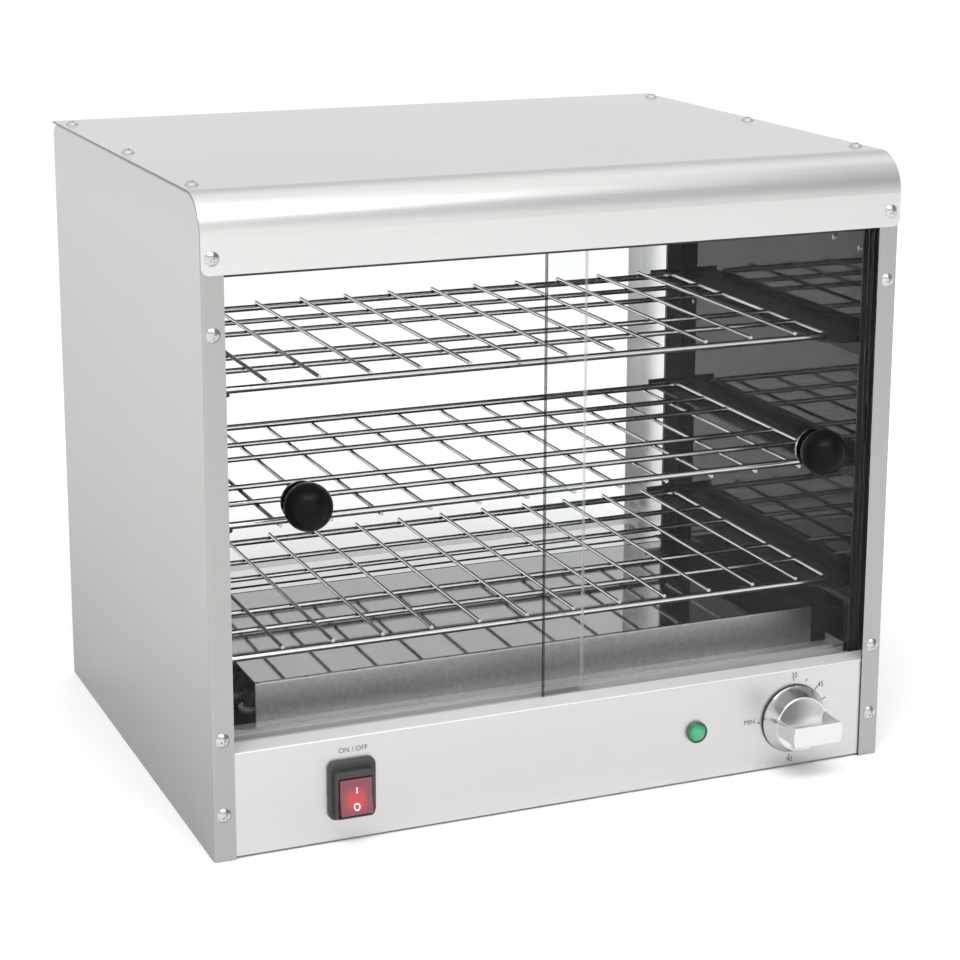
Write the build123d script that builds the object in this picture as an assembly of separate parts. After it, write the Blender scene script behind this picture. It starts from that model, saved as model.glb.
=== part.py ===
from build123d import *
import math
import os

# Countertop pie warmer cabinet, in millimetres. +Z is up and the front faces -Y.
# The origin is the middle of the cabinet's footprint, on the surface that it stands on.

# Casing
WIDTH = 450.0
DEPTH = 352.0
HEIGHT = 395.0
SHEET = 1.2
FLANGE = 13.5
BEND = 1.6
FRONT = -DEPTH / 2
REAR = DEPTH / 2
WALL = WIDTH / 2 - SHEET
HOOD_RADIUS = 24.0
HOOD_BOTTOM = 350.0
APRON_CORNER = 5.0
APRON_HEM = 10.0
REAR_CORNER = 9.0
SILL_HEIGHT = 66.0
SILL_DEPTH = 17.5
SILL_LIP = 9.0
PANEL_BOTTOM = 1.6
FIT = 0.2

# Glass, tracks and channels, with depths measured back from the front flange
GLASS = 4.0
FRONT_PANE_DEPTH = 18.6
REAR_PANE_DEPTH = 25.0
PANE_BOTTOM = 59.7
PANE_TOP = 362.0
LEFT_PANE = (-221.0, 24.0)
RIGHT_PANE = (-6.0, 221.0)
TRACK_DEPTHS = (17.6, 18.2, 23.3, 24.3, 29.7, 31.0)
TRACK_FLOOR = 58.0
TRACK_CEILING = 366.0
TRACK_RIM = 65.0
TRACK_BACK = 43.0
TRACK_HALF = 214.8
CHANNEL_HALF = 219.0
HEADER_HALF = 211.0
HEADER_LIP = 345.0
FIXED_GLASS_DEPTH = 294.0
GLASS_GROOVE = (292.5, 299.5)
POST_DEPTHS = (286.0, 299.5)
POST_HALF = 211.5
POST_GRIP = 217.0

# Cavity floor and the heater under its cover
FLOOR = 57.5
FLOOR_LIP = 5.0
COVER_X = (-178.0, 211.0)
COVER_Y = (65.0, 236.0)
COVER_TOP = 83.0
ELEMENT_RADIUS = 4.0
ELEMENT_HEIGHT = 69.0
ELEMENT_DEPTHS = (105.0, 195.0)
ELEMENT_BEND = 14.0

# Wire racks: levels are the heights of the frame rod's centre
RACK_LEVELS = {"upper": 273.5, "middle": 191.5, "lower": 109.0}
RACK_SHIFTS = {"upper": -4.5, "middle": 2.0, "lower": 2.0}
RACK_HALF = 208.5
RACK_FRONT = 42.5
RACK_REAR = 265.0
RACK_CORNER = 8.0
FRAME_ROD = 2.2
CROSS_ROD = 1.75
WIRE = 1.25
CROSS_DEPTHS = (87.0, 121.5, 186.0, 221.0)
WIRE_COUNT = 12
WIRE_PITCH = 32.0
WIRE_SHIFT = 6.5
WELD = 0.3
RAIL_SHEET = 1.5
RAIL_WIDTH = 27.0
RAIL_LEG = 11.0
RAIL_STOP = 3.0
FRONT_STOP_WIDTH = 5.5
RAIL_ENDS = (34.0, 285.0)
RAIL_CHAMFER = 9.0
RAIL_CLEARANCE = 0.3

# Door knobs
KNOB_X = {"left": -160.5, "right": 179.5}
KNOB_Z = 207.5
KNOB_RADIUS = 14.5
KNOB_NECK = 8.5
KNOB_REACH = 27.0
WASHER_RADIUS = 12.5
WASHER_THICK = 1.8
BOLT_RADIUS = 2.0
INNER_WASHER = 0.6

# Controls on the front panel
SWITCH_X = -139.5
SWITCH_Z = 33.7
SWITCH_SIZE = (30.0, 37.0)
SWITCH_CUTOUT = (22.0, 30.0)
ROCKER_SIZE = (19.8, 22.0)
ROCKER_DROP = -3.0
ROCKER_TILT = 7.5
PIVOT_REACH = 5.0
LAMP_X = 92.0
LAMP_Z = 34.3
LAMP_RADIUS = 7.0
LAMP_HOLE = 5.6
LENS_RADIUS = 5.9
LENS_DOME = 1.8
DIAL_X = 161.8
DIAL_Z = 33.5
DIAL_RADIUS = 22.3
DIAL_RIM = 18.0
DIAL_BODY = 10.5
DIAL_REACH = 31.0
DIAL_GAP = 2.0
GRIP_HALF = 7.0
SHAFT_RADIUS = 3.0
SHAFT_BORE = 3.05
DIAL_RING = 22.6

# Fasteners
SCREW_SHANK = 1.9
SCREW_HOLE = 2.1
SCREW_HEAD = 4.5
SCREW_DOME = 2.3
SCREW_LENGTH = 8.0
SCREW_INSET = 6.5
TOP_SCREW_INSET = 8.0
TOP_SCREW_DEPTHS = (41.0, 182.0, 329.0)
HOOD_SCREW_Z = 359.5
FLANGE_SCREW_Z = (316.0, 75.5, 29.0)
BASE_SCREW_DEPTHS = (40.0, 176.0, 312.0)

# Power inlet at the back, on the left as the front is seen
GLAND_X = -150.0
GLAND_Z = 32.0
GLAND_BORE = 4.2
GLAND_NECK = 8.0

PANEL_FACE = FRONT + SHEET
DIAL_FRONT = PANEL_FACE - DIAL_GAP - DIAL_REACH
GLAND_REACH = -DIAL_FRONT - REAR


def block(x, y, z):
    """A box between low and high limits on each axis."""
    size = (x[1] - x[0], y[1] - y[0], z[1] - z[0])
    return Pos(x[0], y[0], z[0]) * Box(*size, align=(Align.MIN, Align.MIN, Align.MIN))


def rod(start, end, radius):
    """A round rod from one point to another."""
    direction = Vector(*end) - Vector(*start)
    place = Plane(origin=start, z_dir=direction)
    return place * Cylinder(radius, direction.length, align=(Align.CENTER, Align.CENTER, Align.MIN))


def elbow(centre, start, normal, bend_radius, rod_radius, angle=90):
    """A bent piece of rod that turns about the normal from the start direction."""
    place = Plane(origin=centre, x_dir=start, z_dir=normal)
    return place * Torus(bend_radius, rod_radius, major_angle=angle, align=None)


def joined(pieces):
    """One solid from overlapping or touching pieces."""
    pieces = list(pieces)
    return pieces[0].fuse(*pieces[1:]).clean()


def mirrored(shape):
    """The same piece for the other side of the cabinet."""
    return mirror(shape, about=Plane.YZ)


def back(depth):
    """Y of a plane at a depth behind the front flange."""
    return FRONT + depth


def save(shape, node):
    """Writes one named piece."""
    export_step(shape, f"parts/{node}.step")


def save_group(shapes, node):
    """Writes several separate solids as one named group."""
    save(Compound(children=[s for shape in shapes for s in shape.solids()]), node)


def edges_along(shape, axis, x=None, y=None, z=None):
    """Edges parallel to an axis whose middle has the given coordinates."""
    found = shape.edges().filter_by(axis)
    for name, value in (("X", x), ("Y", y), ("Z", z)):
        if value is not None:
            found = [e for e in found if abs(getattr(e.center(), name) - value) < 0.01]
    return found


# Casing sheets

def hood_block(inset, radius):
    """The hood's outline as a solid, moved in from its outer face."""
    front = FRONT - SHEET + inset
    top = HEIGHT - inset
    body = block((-WIDTH / 2, WIDTH / 2), (front, REAR), (HOOD_BOTTOM, top))
    return fillet(edges_along(body, Axis.X, y=front, z=top), radius)


def top_hood():
    """Top sheet that rolls over the front edge into the apron above the doors."""
    shell = hood_block(0, HOOD_RADIUS) - hood_block(SHEET, HOOD_RADIUS - SHEET)
    behind_apron = block((-WIDTH, WIDTH), (FRONT + 0.01, REAR + 1), (HOOD_BOTTOM - 1, HEIGHT - SHEET - 40))
    shell -= behind_apron
    apron_y = FRONT - SHEET / 2
    corners = edges_along(shell, Axis.Y, y=apron_y, z=HOOD_BOTTOM)
    shell = fillet(corners, APRON_CORNER)
    half = WIDTH / 2 - FLANGE - 0.5
    hem = block((-half, half), (FRONT - SHEET / 2, FRONT + APRON_HEM), (HOOD_BOTTOM, HOOD_BOTTOM + SHEET))
    rear_lip = block((-half, half), (REAR - SHEET, REAR), (HEIGHT - 16, HEIGHT - SHEET / 2))
    sheet = joined([shell, hem, rear_lip])
    for x, y in top_screw_places():
        sheet -= rod((x, y, HEIGHT - 3), (x, y, HEIGHT + 1), SCREW_HOLE)
    for x in (-WIDTH / 2 + SCREW_INSET, WIDTH / 2 - SCREW_INSET):
        sheet -= rod((x, FRONT - 3, HOOD_SCREW_Z), (x, FRONT + 0.5, HOOD_SCREW_Z), SCREW_HOLE)
    return sheet


def side_panel():
    """Left wall, folded inwards at the front, back, top and bottom."""
    outer = block((-WIDTH / 2, -WIDTH / 2 + FLANGE), (FRONT, REAR), (0, HEIGHT - SHEET))
    outer = fillet(edges_along(outer, Axis.X, y=FRONT, z=HEIGHT - SHEET), HOOD_RADIUS - SHEET)
    outer = fillet(edges_along(outer, Axis.X, y=REAR, z=HEIGHT - SHEET), REAR_CORNER)
    bends = edges_along(outer, Axis.Z, x=-WIDTH / 2)
    outer = fillet(bends, BEND)
    low = (-WALL, FRONT + SHEET, SHEET)
    inner = block((low[0], 0), (low[1], REAR - SHEET), (low[2], HEIGHT - 2 * SHEET))
    inner_top = HEIGHT - 2 * SHEET
    inner = fillet(edges_along(inner, Axis.X, y=FRONT + SHEET, z=inner_top), HOOD_RADIUS - 2 * SHEET)
    inner = fillet(edges_along(inner, Axis.X, y=REAR - SHEET, z=inner_top), REAR_CORNER - SHEET)
    panel = outer - inner
    x = -WIDTH / 2 + SCREW_INSET
    for z in (*FLANGE_SCREW_Z, HOOD_SCREW_Z):
        for y in (FRONT, REAR):
            panel -= rod((x, y - 2, z), (x, y + 2, z), SCREW_HOLE)
    for depth in TOP_SCREW_DEPTHS:
        x_top = -WIDTH / 2 + TOP_SCREW_INSET
        panel -= rod((x_top, back(depth), HEIGHT - 6), (x_top, back(depth), HEIGHT), SCREW_HOLE)
    for depth in BASE_SCREW_DEPTHS:
        panel -= base_screw(x, back(depth), 0.05)
    return panel


def sill_sheet(front_y, direction):
    """Upright sheet with a sill folded inwards at its top and a lip folded down."""
    half = WALL - FIT
    lip_y = front_y + direction * (SILL_DEPTH - SHEET)
    face = sorted((front_y, front_y + direction * SHEET))
    sill = sorted((front_y, lip_y))
    lip = sorted((lip_y, lip_y - direction * SHEET))
    upright = block((-half, half), face, (PANEL_BOTTOM, SILL_HEIGHT))
    top = block((-half, half), sill, (SILL_HEIGHT - SHEET, SILL_HEIGHT))
    down = block((-half, half), lip, (SILL_HEIGHT - SILL_LIP, SILL_HEIGHT))
    sheet = joined([upright, top, down])
    return fillet(edges_along(sheet, Axis.X, y=front_y, z=SILL_HEIGHT), BEND - 0.5)


def control_panel():
    """Front sheet under the doors, with the openings for the controls."""
    sheet = sill_sheet(PANEL_FACE, 1)
    ys = (PANEL_FACE - 1, PANEL_FACE + 3)
    half_x, half_z = SWITCH_CUTOUT[0] / 2, SWITCH_CUTOUT[1] / 2
    sheet -= block((SWITCH_X - half_x, SWITCH_X + half_x), ys, (SWITCH_Z - half_z, SWITCH_Z + half_z))
    sheet -= rod((LAMP_X, ys[0], LAMP_Z), (LAMP_X, ys[1], LAMP_Z), LAMP_HOLE)
    sheet -= rod((DIAL_X, ys[0], DIAL_Z), (DIAL_X, ys[1], DIAL_Z), 5.0)
    for side in (-1, 1):
        for z in FLANGE_SCREW_Z[2:]:
            x = side * (WIDTH / 2 - SCREW_INSET)
            sheet -= rod((x, ys[0], z), (x, ys[1], z), SCREW_HOLE)
    return sheet


def rear_lower_panel():
    """Back sheet under the fixed glass, with vent slots and the hole for the cord gland."""
    sheet = sill_sheet(REAR - SHEET, -1)
    ys = (REAR - SHEET - 3, REAR - SHEET + 1)
    sheet -= rod((GLAND_X, ys[0], GLAND_Z), (GLAND_X, ys[1], GLAND_Z), GLAND_NECK)
    for index in range(10):
        x = -40 + index * 20
        slot = block((x - 2, x + 2), ys, (20, 44))
        sheet -= slot
    for side in (-1, 1):
        for z in FLANGE_SCREW_Z[2:]:
            x = side * (WIDTH / 2 - SCREW_INSET)
            sheet -= rod((x, ys[0], z), (x, ys[1], z), SCREW_HOLE)
    return sheet


def base_plate():
    """Bottom cover, with a lip up behind the front and back sheets and vent slots."""
    half = WALL - FIT
    ys = (PANEL_FACE + SHEET + FIT, REAR - 2 * SHEET - FIT)
    floor = block((-half, half), ys, (SHEET, 2 * SHEET))
    front_lip = block((-half, half), (ys[0], ys[0] + SHEET), (SHEET, 13))
    rear_lip = block((-half, half), (ys[1] - SHEET, ys[1]), (SHEET, 13))
    plate = joined([floor, front_lip, rear_lip])
    for column in range(7):
        for row in (-90, 60):
            x = -90 + column * 30
            plate -= block((x - 3, x + 3), (row, row + 34), (0, 4))
    for side in (-1, 1):
        for depth in BASE_SCREW_DEPTHS:
            x = side * (WIDTH / 2 - SCREW_INSET)
            plate -= rod((x, back(depth), 0), (x, back(depth), 4), SCREW_HOLE + 0.4)
    return plate


def floor_pan():
    """Shallow tray that is the cavity's floor, with holes for the heater's ends and the bulb's tube."""
    ys = (back(TRACK_BACK + FIT), back(POST_DEPTHS[0] - FIT))
    tray = block((-WALL, WALL), ys, (FLOOR - SHEET, FLOOR + FLOOR_LIP))
    tray -= block((-WALL + SHEET, WALL - SHEET), (ys[0] + SHEET, ys[1] - SHEET), (FLOOR, FLOOR + 20))
    for x, y in element_end_places():
        tray -= rod((x, y, FLOOR - 5), (x, y, FLOOR + 5), ELEMENT_RADIUS + 1.2)
    tray -= rod((BULB_TUBE_X, back(BULB_DEPTH), FLOOR - 5), (BULB_TUBE_X, back(BULB_DEPTH), FLOOR + 5), 2.5)
    return tray


# Glass, tracks and posts

def front_bottom_track():
    """Two-groove track behind the front sill, with a step down to the floor pan."""
    xs = (-TRACK_HALF, TRACK_HALF)
    floor = block(xs, (back(TRACK_DEPTHS[0]), back(TRACK_BACK)), (TRACK_FLOOR, TRACK_FLOOR + SHEET))
    ribs = [
        block(xs, (back(near), back(far)), (TRACK_FLOOR, rim))
        for near, far, rim in (
            (TRACK_DEPTHS[0], TRACK_DEPTHS[1], TRACK_RIM),
            (TRACK_DEPTHS[2], TRACK_DEPTHS[3], TRACK_RIM - 1),
            (TRACK_DEPTHS[4], TRACK_DEPTHS[5], TRACK_RIM),
            (TRACK_BACK - SHEET, TRACK_BACK, FLOOR + FLOOR_LIP),
        )
    ]
    return joined([floor, *ribs])


def front_top_track():
    """Two-groove track behind the apron, hung from the hood on an upright web."""
    xs = (-HEADER_HALF, HEADER_HALF)
    low = HEADER_LIP
    under_hood = HEIGHT - SHEET
    roof = block(xs, (back(TRACK_DEPTHS[0]), back(TRACK_DEPTHS[5])), (TRACK_CEILING - SHEET, TRACK_CEILING))
    near = block(xs, (back(TRACK_DEPTHS[0]), back(TRACK_DEPTHS[1])), (low, TRACK_CEILING))
    middle = block(xs, (back(TRACK_DEPTHS[2]), back(TRACK_DEPTHS[3])), (low, TRACK_CEILING))
    web = block(xs, (back(TRACK_DEPTHS[4]), back(TRACK_DEPTHS[5])), (low, under_hood))
    flange = block(xs, (back(TRACK_DEPTHS[4]), back(TRACK_DEPTHS[4] + 14)), (under_hood - SHEET, under_hood))
    return joined([roof, near, middle, web, flange])


def door_channel():
    """Left upright channel that the doors close into."""
    zs = (TRACK_FLOOR, TRACK_CEILING)
    web = block((-WALL + 0.1, -WALL + 1.3), (back(TRACK_DEPTHS[0]), back(TRACK_DEPTHS[5])), zs)
    lips = [
        block((-WALL + 0.1, -CHANNEL_HALF), (back(near), back(far)), zs)
        for near, far in (TRACK_DEPTHS[0:2], TRACK_DEPTHS[2:4], TRACK_DEPTHS[4:6])
    ]
    return joined([web, *lips])


def pane(limits, depth, knob_x):
    """A sliding glass door with a drilled hole for its knob."""
    glass = block(limits, (back(depth), back(depth + GLASS)), (PANE_BOTTOM, PANE_TOP))
    glass = chamfer(glass.edges().filter_by(Axis.Z), 0.4)
    return glass - rod((knob_x, back(depth) - 1, KNOB_Z), (knob_x, back(depth + GLASS) + 1, KNOB_Z), 3.0)


def rear_bottom_rail():
    """Rail under the fixed glass: a sunken groove, and a flat shelf back to the rear panel's sill."""
    xs = (-HEADER_HALF, HEADER_HALF)
    wide = (-WALL + FIT, WALL - FIT)
    near = POST_DEPTHS[0]
    groove_near, groove_far = GLASS_GROOVE
    upright = (TRACK_FLOOR, SILL_HEIGHT)
    top = (SILL_HEIGHT - SHEET, SILL_HEIGHT)
    shelf_end = DEPTH - SILL_DEPTH - FIT
    uprights = [
        block(xs, (back(at), back(at + SHEET)), upright) for at in (near, groove_near, groove_far - SHEET)
    ]
    front_top = block(xs, (back(near), back(groove_near + SHEET)), top)
    groove_floor = block(xs, (back(groove_near), back(groove_far)), (TRACK_FLOOR, TRACK_FLOOR + SHEET))
    shelf_edge = block(xs, (back(groove_far - SHEET), back(groove_far + 1)), top)
    shelf = block(wide, (back(groove_far + FIT), back(shelf_end)), top)
    return joined([*uprights, front_top, groove_floor, shelf_edge, shelf])


def rear_top_rail():
    """Rail along the top of the fixed glass, hung from the hood on an upright web."""
    xs = (-HEADER_HALF, HEADER_HALF)
    low = HOOD_BOTTOM + 2
    under_hood = HEIGHT - SHEET
    near, far = POST_DEPTHS
    roof = block(xs, (back(near), back(far)), (TRACK_CEILING - SHEET, TRACK_CEILING))
    web = block(xs, (back(near), back(near + SHEET)), (low, under_hood))
    flange = block(xs, (back(near), back(near + 14)), (under_hood - SHEET, under_hood))
    grips = [
        block(xs, (back(at), back(at + SHEET)), (low, TRACK_CEILING))
        for at in (GLASS_GROOVE[0], GLASS_GROOVE[1] - SHEET)
    ]
    return joined([roof, web, flange, *grips])


def rear_post():
    """Left upright beside the fixed glass: a lip in front and a groove for the glass."""
    zs = (TRACK_FLOOR, TRACK_CEILING)
    near, far = POST_DEPTHS
    wall = -WALL + 0.1
    web = block((wall, wall + SHEET), (back(near), back(far)), zs)
    lip = block((wall, -POST_HALF), (back(near), back(near + SHEET)), zs)
    grips = [
        block((wall, -POST_GRIP), (back(at), back(at + SHEET)), zs)
        for at in (GLASS_GROOVE[0], GLASS_GROOVE[1] - SHEET)
    ]
    return joined([web, lip, *grips])


def rear_glass():
    """Fixed pane in the back."""
    ys = (back(FIXED_GLASS_DEPTH), back(FIXED_GLASS_DEPTH + GLASS))
    return block((-219.0, 219.0), ys, (PANE_BOTTOM, PANE_TOP))


# Door knobs

def knob(x, depth):
    """Ball knob on a short neck, bored for its bolt."""
    base = back(depth) - WASHER_THICK
    centre = base - (KNOB_REACH - KNOB_RADIUS)
    ball = Pos(x, centre, KNOB_Z) * Sphere(KNOB_RADIUS)
    neck = rod((x, base, KNOB_Z), (x, centre, KNOB_Z), KNOB_NECK)
    trim = block((x - 30, x + 30), (base, base + 30), (KNOB_Z - 30, KNOB_Z + 30))
    solid = ball.fuse(neck) - trim
    return solid - rod((x, base + 1, KNOB_Z), (x, base - 13, KNOB_Z), BOLT_RADIUS + 0.05)


def knob_washers(x, depth):
    """The disc under the knob and the small washer inside the glass."""
    front = back(depth)
    outer = rod((x, front - WASHER_THICK, KNOB_Z), (x, front, KNOB_Z), WASHER_RADIUS)
    inner = rod((x, front + GLASS, KNOB_Z), (x, front + GLASS + INNER_WASHER, KNOB_Z), 5.5)
    bore = rod((x, front - 5, KNOB_Z), (x, front + 10, KNOB_Z), BOLT_RADIUS + 0.1)
    return [outer - bore, inner - bore]


def knob_bolt(x, depth):
    """Bolt from inside the glass into the knob."""
    seat = back(depth) + GLASS + INNER_WASHER
    shank = rod((x, back(depth) - WASHER_THICK - 12, KNOB_Z), (x, seat + 0.5, KNOB_Z), BOLT_RADIUS)
    head = rod((x, seat, KNOB_Z), (x, seat + 1.4, KNOB_Z), 3.6)
    head = fillet(head.edges().filter_by(GeomType.CIRCLE).sort_by(Axis.Y)[-1], 0.7)
    slot = block((x - 2.6, x + 2.6), (seat + 0.7, seat + 4), (KNOB_Z - 0.5, KNOB_Z + 0.5))
    return shank.fuse(head) - slot


# Racks and their rails

def rack_frame(level):
    """Closed loop of the frame rod with bent corners."""
    near, far = back(RACK_FRONT), back(RACK_REAR)
    r = RACK_CORNER
    pieces = []
    for y in (near, far):
        pieces.append(rod((-RACK_HALF + r, y, level), (RACK_HALF - r, y, level), FRAME_ROD))
    for x in (-RACK_HALF, RACK_HALF):
        pieces.append(rod((x, near + r, level), (x, far - r, level), FRAME_ROD))
    corners = (
        (-RACK_HALF + r, near + r, (-1, 0, 0)),
        (RACK_HALF - r, near + r, (0, -1, 0)),
        (RACK_HALF - r, far - r, (1, 0, 0)),
        (-RACK_HALF + r, far - r, (0, 1, 0)),
    )
    for x, y, start in corners:
        pieces.append(elbow((x, y, level), start, (0, 0, 1), r, FRAME_ROD))
    return pieces


def rack(level, shift, up=1):
    """Welded wire rack: frame, cross rods and thin wires lying on the cross rods."""
    pieces = rack_frame(level)
    cross_z = level + up * (FRAME_ROD - CROSS_ROD)
    wire_z = level + up * (FRAME_ROD + WIRE - WELD)
    for depth in CROSS_DEPTHS:
        pieces.append(rod((-RACK_HALF, back(depth), cross_z), (RACK_HALF, back(depth), cross_z), CROSS_ROD))
    first = WIRE_SHIFT - WIRE_PITCH * (WIRE_COUNT - 1) / 2
    for index in range(WIRE_COUNT):
        x = first + index * WIRE_PITCH
        pieces.append(rod((x, back(RACK_FRONT) - 0.5, wire_z), (x, back(RACK_REAR) + 2.5, wire_z), WIRE))
    return Pos(shift, 0, 0) * joined(pieces)


def rail(level):
    """Left angle rail under a rack, its leg spot-welded down the wall, with a stop at each end."""
    top = level - FRAME_ROD - RAIL_CLEARANCE
    near, far = back(RAIL_ENDS[0]), back(RAIL_ENDS[1])
    inner = -WALL + RAIL_WIDTH
    shelf = block((-WALL, inner), (near, far), (top - RAIL_SHEET, top))
    shelf = chamfer(edges_along(shelf, Axis.Z, x=inner, y=near), RAIL_CHAMFER)
    leg = block((-WALL, -WALL + RAIL_SHEET), (near, far), (top - RAIL_LEG, top))
    front_stop = block((-WALL, -WALL + FRONT_STOP_WIDTH), (near, near + RAIL_SHEET), (top - RAIL_SHEET, top + RAIL_STOP))
    rear_stop = block((-WALL, inner), (far - RAIL_SHEET, far), (top - RAIL_SHEET, top + RAIL_STOP))
    return joined([shelf, leg, front_stop, rear_stop])


# Heater

ELEMENT_SPAN = (-160.0, 190.0)
BULB_TUBE_X = -165.0
BULB_DEPTH = 150.0
BULB_HEIGHT = 69.0
BULB_RADIUS = 3.0


def element_end_places():
    """Where the two heaters' ends pass through the floor."""
    return [
        (ELEMENT_SPAN[0] - ELEMENT_BEND, back(depth) + side * ELEMENT_BEND)
        for depth in ELEMENT_DEPTHS
        for side in (-1, 1)
    ]


def element(depth):
    """Hairpin tube heater whose two ends turn down through the floor."""
    y = back(depth)
    z = ELEMENT_HEIGHT
    r = ELEMENT_BEND
    low, high = ELEMENT_SPAN
    bend_radius = 10.0
    drop = 22.0
    pieces = []
    for side in (-1, 1):
        leg_y = y + side * r
        pieces.append(rod((low - r + bend_radius, leg_y, z), (high, leg_y, z), ELEMENT_RADIUS))
        end_x = low - r
        centre = (end_x + bend_radius, leg_y, z - bend_radius)
        pieces.append(elbow(centre, (-1, 0, 0), (0, 1, 0), bend_radius, ELEMENT_RADIUS))
        low_z = z - bend_radius - drop
        pieces.append(rod((end_x, leg_y, z - bend_radius), (end_x, leg_y, low_z), ELEMENT_RADIUS))
        pieces.append(rod((end_x, leg_y, low_z - 7), (end_x, leg_y, low_z), 1.5))
    pieces.append(elbow((high, y, z), (0, -1, 0), (0, 0, 1), r, ELEMENT_RADIUS, 180))
    return joined(pieces)


def element_brackets():
    """Saddle strips that hold the heaters off the floor."""
    brackets = []
    for depth in ELEMENT_DEPTHS:
        y = back(depth)
        for x in (-90.0, 20.0, 130.0):
            half = ELEMENT_BEND + ELEMENT_RADIUS + 3
            xs = (x - 6, x + 6)
            strip = block((x - 5, x + 5), (y - half, y + half), (FLOOR, ELEMENT_HEIGHT + 1))
            strip -= block(xs, (y - half + 1.2, y + half - 1.2), (FLOOR + 1.2, ELEMENT_HEIGHT - 2.2))
            for side in (-1, 1):
                start = (xs[0], y + side * ELEMENT_BEND, ELEMENT_HEIGHT)
                end = (xs[1], y + side * ELEMENT_BEND, ELEMENT_HEIGHT)
                strip -= rod(start, end, ELEMENT_RADIUS + 0.1)
            brackets.append(strip.solids().sort_by(SortBy.VOLUME)[-1])
    return brackets


def element_insulators():
    """Ceramic bushes around the heater ends where they pass the floor."""
    bushes = []
    for x, y in element_end_places():
        bush = rod((x, y, FLOOR), (x, y, FLOOR + 1.5), ELEMENT_RADIUS + 3)
        bush = bush.fuse(rod((x, y, FLOOR - 6), (x, y, FLOOR + 0.5), ELEMENT_RADIUS + 1.1))
        bushes.append(bush - rod((x, y, FLOOR - 7), (x, y, FLOOR + 3), ELEMENT_RADIUS + 0.1))
    return bushes


def element_cover():
    """Folded sheet over the heaters, open at both ends."""
    zs = (FLOOR, COVER_TOP)
    ys = (back(COVER_Y[0]), back(COVER_Y[1]))
    shell = block(COVER_X, ys, zs)
    shell = fillet([e for y in ys for e in edges_along(shell, Axis.X, y=y, z=COVER_TOP)], 1.4)
    inner_x = (COVER_X[0] - 1, COVER_X[1] + 1)
    return shell - block(inner_x, (ys[0] + SHEET, ys[1] - SHEET), (FLOOR - 1, COVER_TOP - SHEET))


# Thermostat

def thermostat_body():
    """Thermostat housing behind the panel, with its two side ears and rear terminals."""
    y = PANEL_FACE + SHEET
    body = block((DIAL_X - 17, DIAL_X + 17), (y + 2, y + 30), (DIAL_Z - 17, DIAL_Z + 17))
    body = fillet(body.edges().filter_by(Axis.Y), 3)
    plate = block((DIAL_X - 20, DIAL_X + 20), (y, y + 2), (DIAL_Z - 10, DIAL_Z + 10))
    tabs = [
        block((DIAL_X + dx - 3, DIAL_X + dx + 3), (y + 29, y + 38), (DIAL_Z + dz - 0.4, DIAL_Z + dz + 0.4))
        for dx in (-9, 9)
        for dz in (-8, 8)
    ]
    bore = rod((DIAL_X, y - 2, DIAL_Z), (DIAL_X, y + 12, DIAL_Z), SHAFT_BORE)
    return joined([body, plate, *tabs]) - bore


def thermostat_shaft():
    """Round shaft with a flat, from the thermostat into the dial."""
    start = PANEL_FACE + SHEET + 11
    end = PANEL_FACE - DIAL_GAP - 14
    shaft = rod((DIAL_X, start, DIAL_Z), (DIAL_X, end, DIAL_Z), SHAFT_RADIUS)
    flat = block((DIAL_X - 5, DIAL_X + 5), (end - 1, end + 12), (DIAL_Z + 1.8, DIAL_Z + 6))
    return shaft - flat


def dial_ring():
    """Thin dark ring on the panel behind the dial."""
    y = PANEL_FACE
    ring = rod((DIAL_X, y - 1.6, DIAL_Z), (DIAL_X, y, DIAL_Z), DIAL_RING)
    return ring - rod((DIAL_X, y - 3, DIAL_Z), (DIAL_X, y + 1, DIAL_Z), DIAL_RING - 6)


def dial_knob():
    """Dial with a raised square grip across its face."""
    place = Plane(origin=(DIAL_X, PANEL_FACE - DIAL_GAP, DIAL_Z), x_dir=(1, 0, 0), z_dir=(0, -1, 0))
    middle = (Align.CENTER, Align.CENTER, Align.MIN)
    body = Cone(DIAL_RADIUS, DIAL_RIM, DIAL_BODY, align=middle)
    body = fillet(body.edges().filter_by(GeomType.CIRCLE).sort_by(Axis.Z)[-1], 0.8)
    dish_radius = 62.0
    dish_depth = 2.4
    body -= Pos(0, 0, DIAL_BODY + dish_radius - dish_depth) * Sphere(dish_radius)
    grip = Cone(DIAL_RIM + 0.4, DIAL_RIM - 0.5, DIAL_REACH, align=middle)
    grip &= Box(80, 2 * GRIP_HALF, 2 * DIAL_REACH)
    grip = fillet(grip.edges().group_by(Axis.Z)[-1], 0.7)
    scoop_radius = 70.0
    for side in (-1, 1):
        scoop = Pos(0, side * (GRIP_HALF - 1.5 + scoop_radius), DIAL_BODY + 7.5)
        grip -= scoop * Rot(0, 90, 0) * Cylinder(scoop_radius, 80)
    dial = body.fuse(grip)
    socket = Cylinder(SHAFT_BORE, 14.5, align=middle)
    hollow = Cylinder(DIAL_RING - 2, 1.2, align=middle)
    return place * (dial - socket - hollow)


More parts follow.
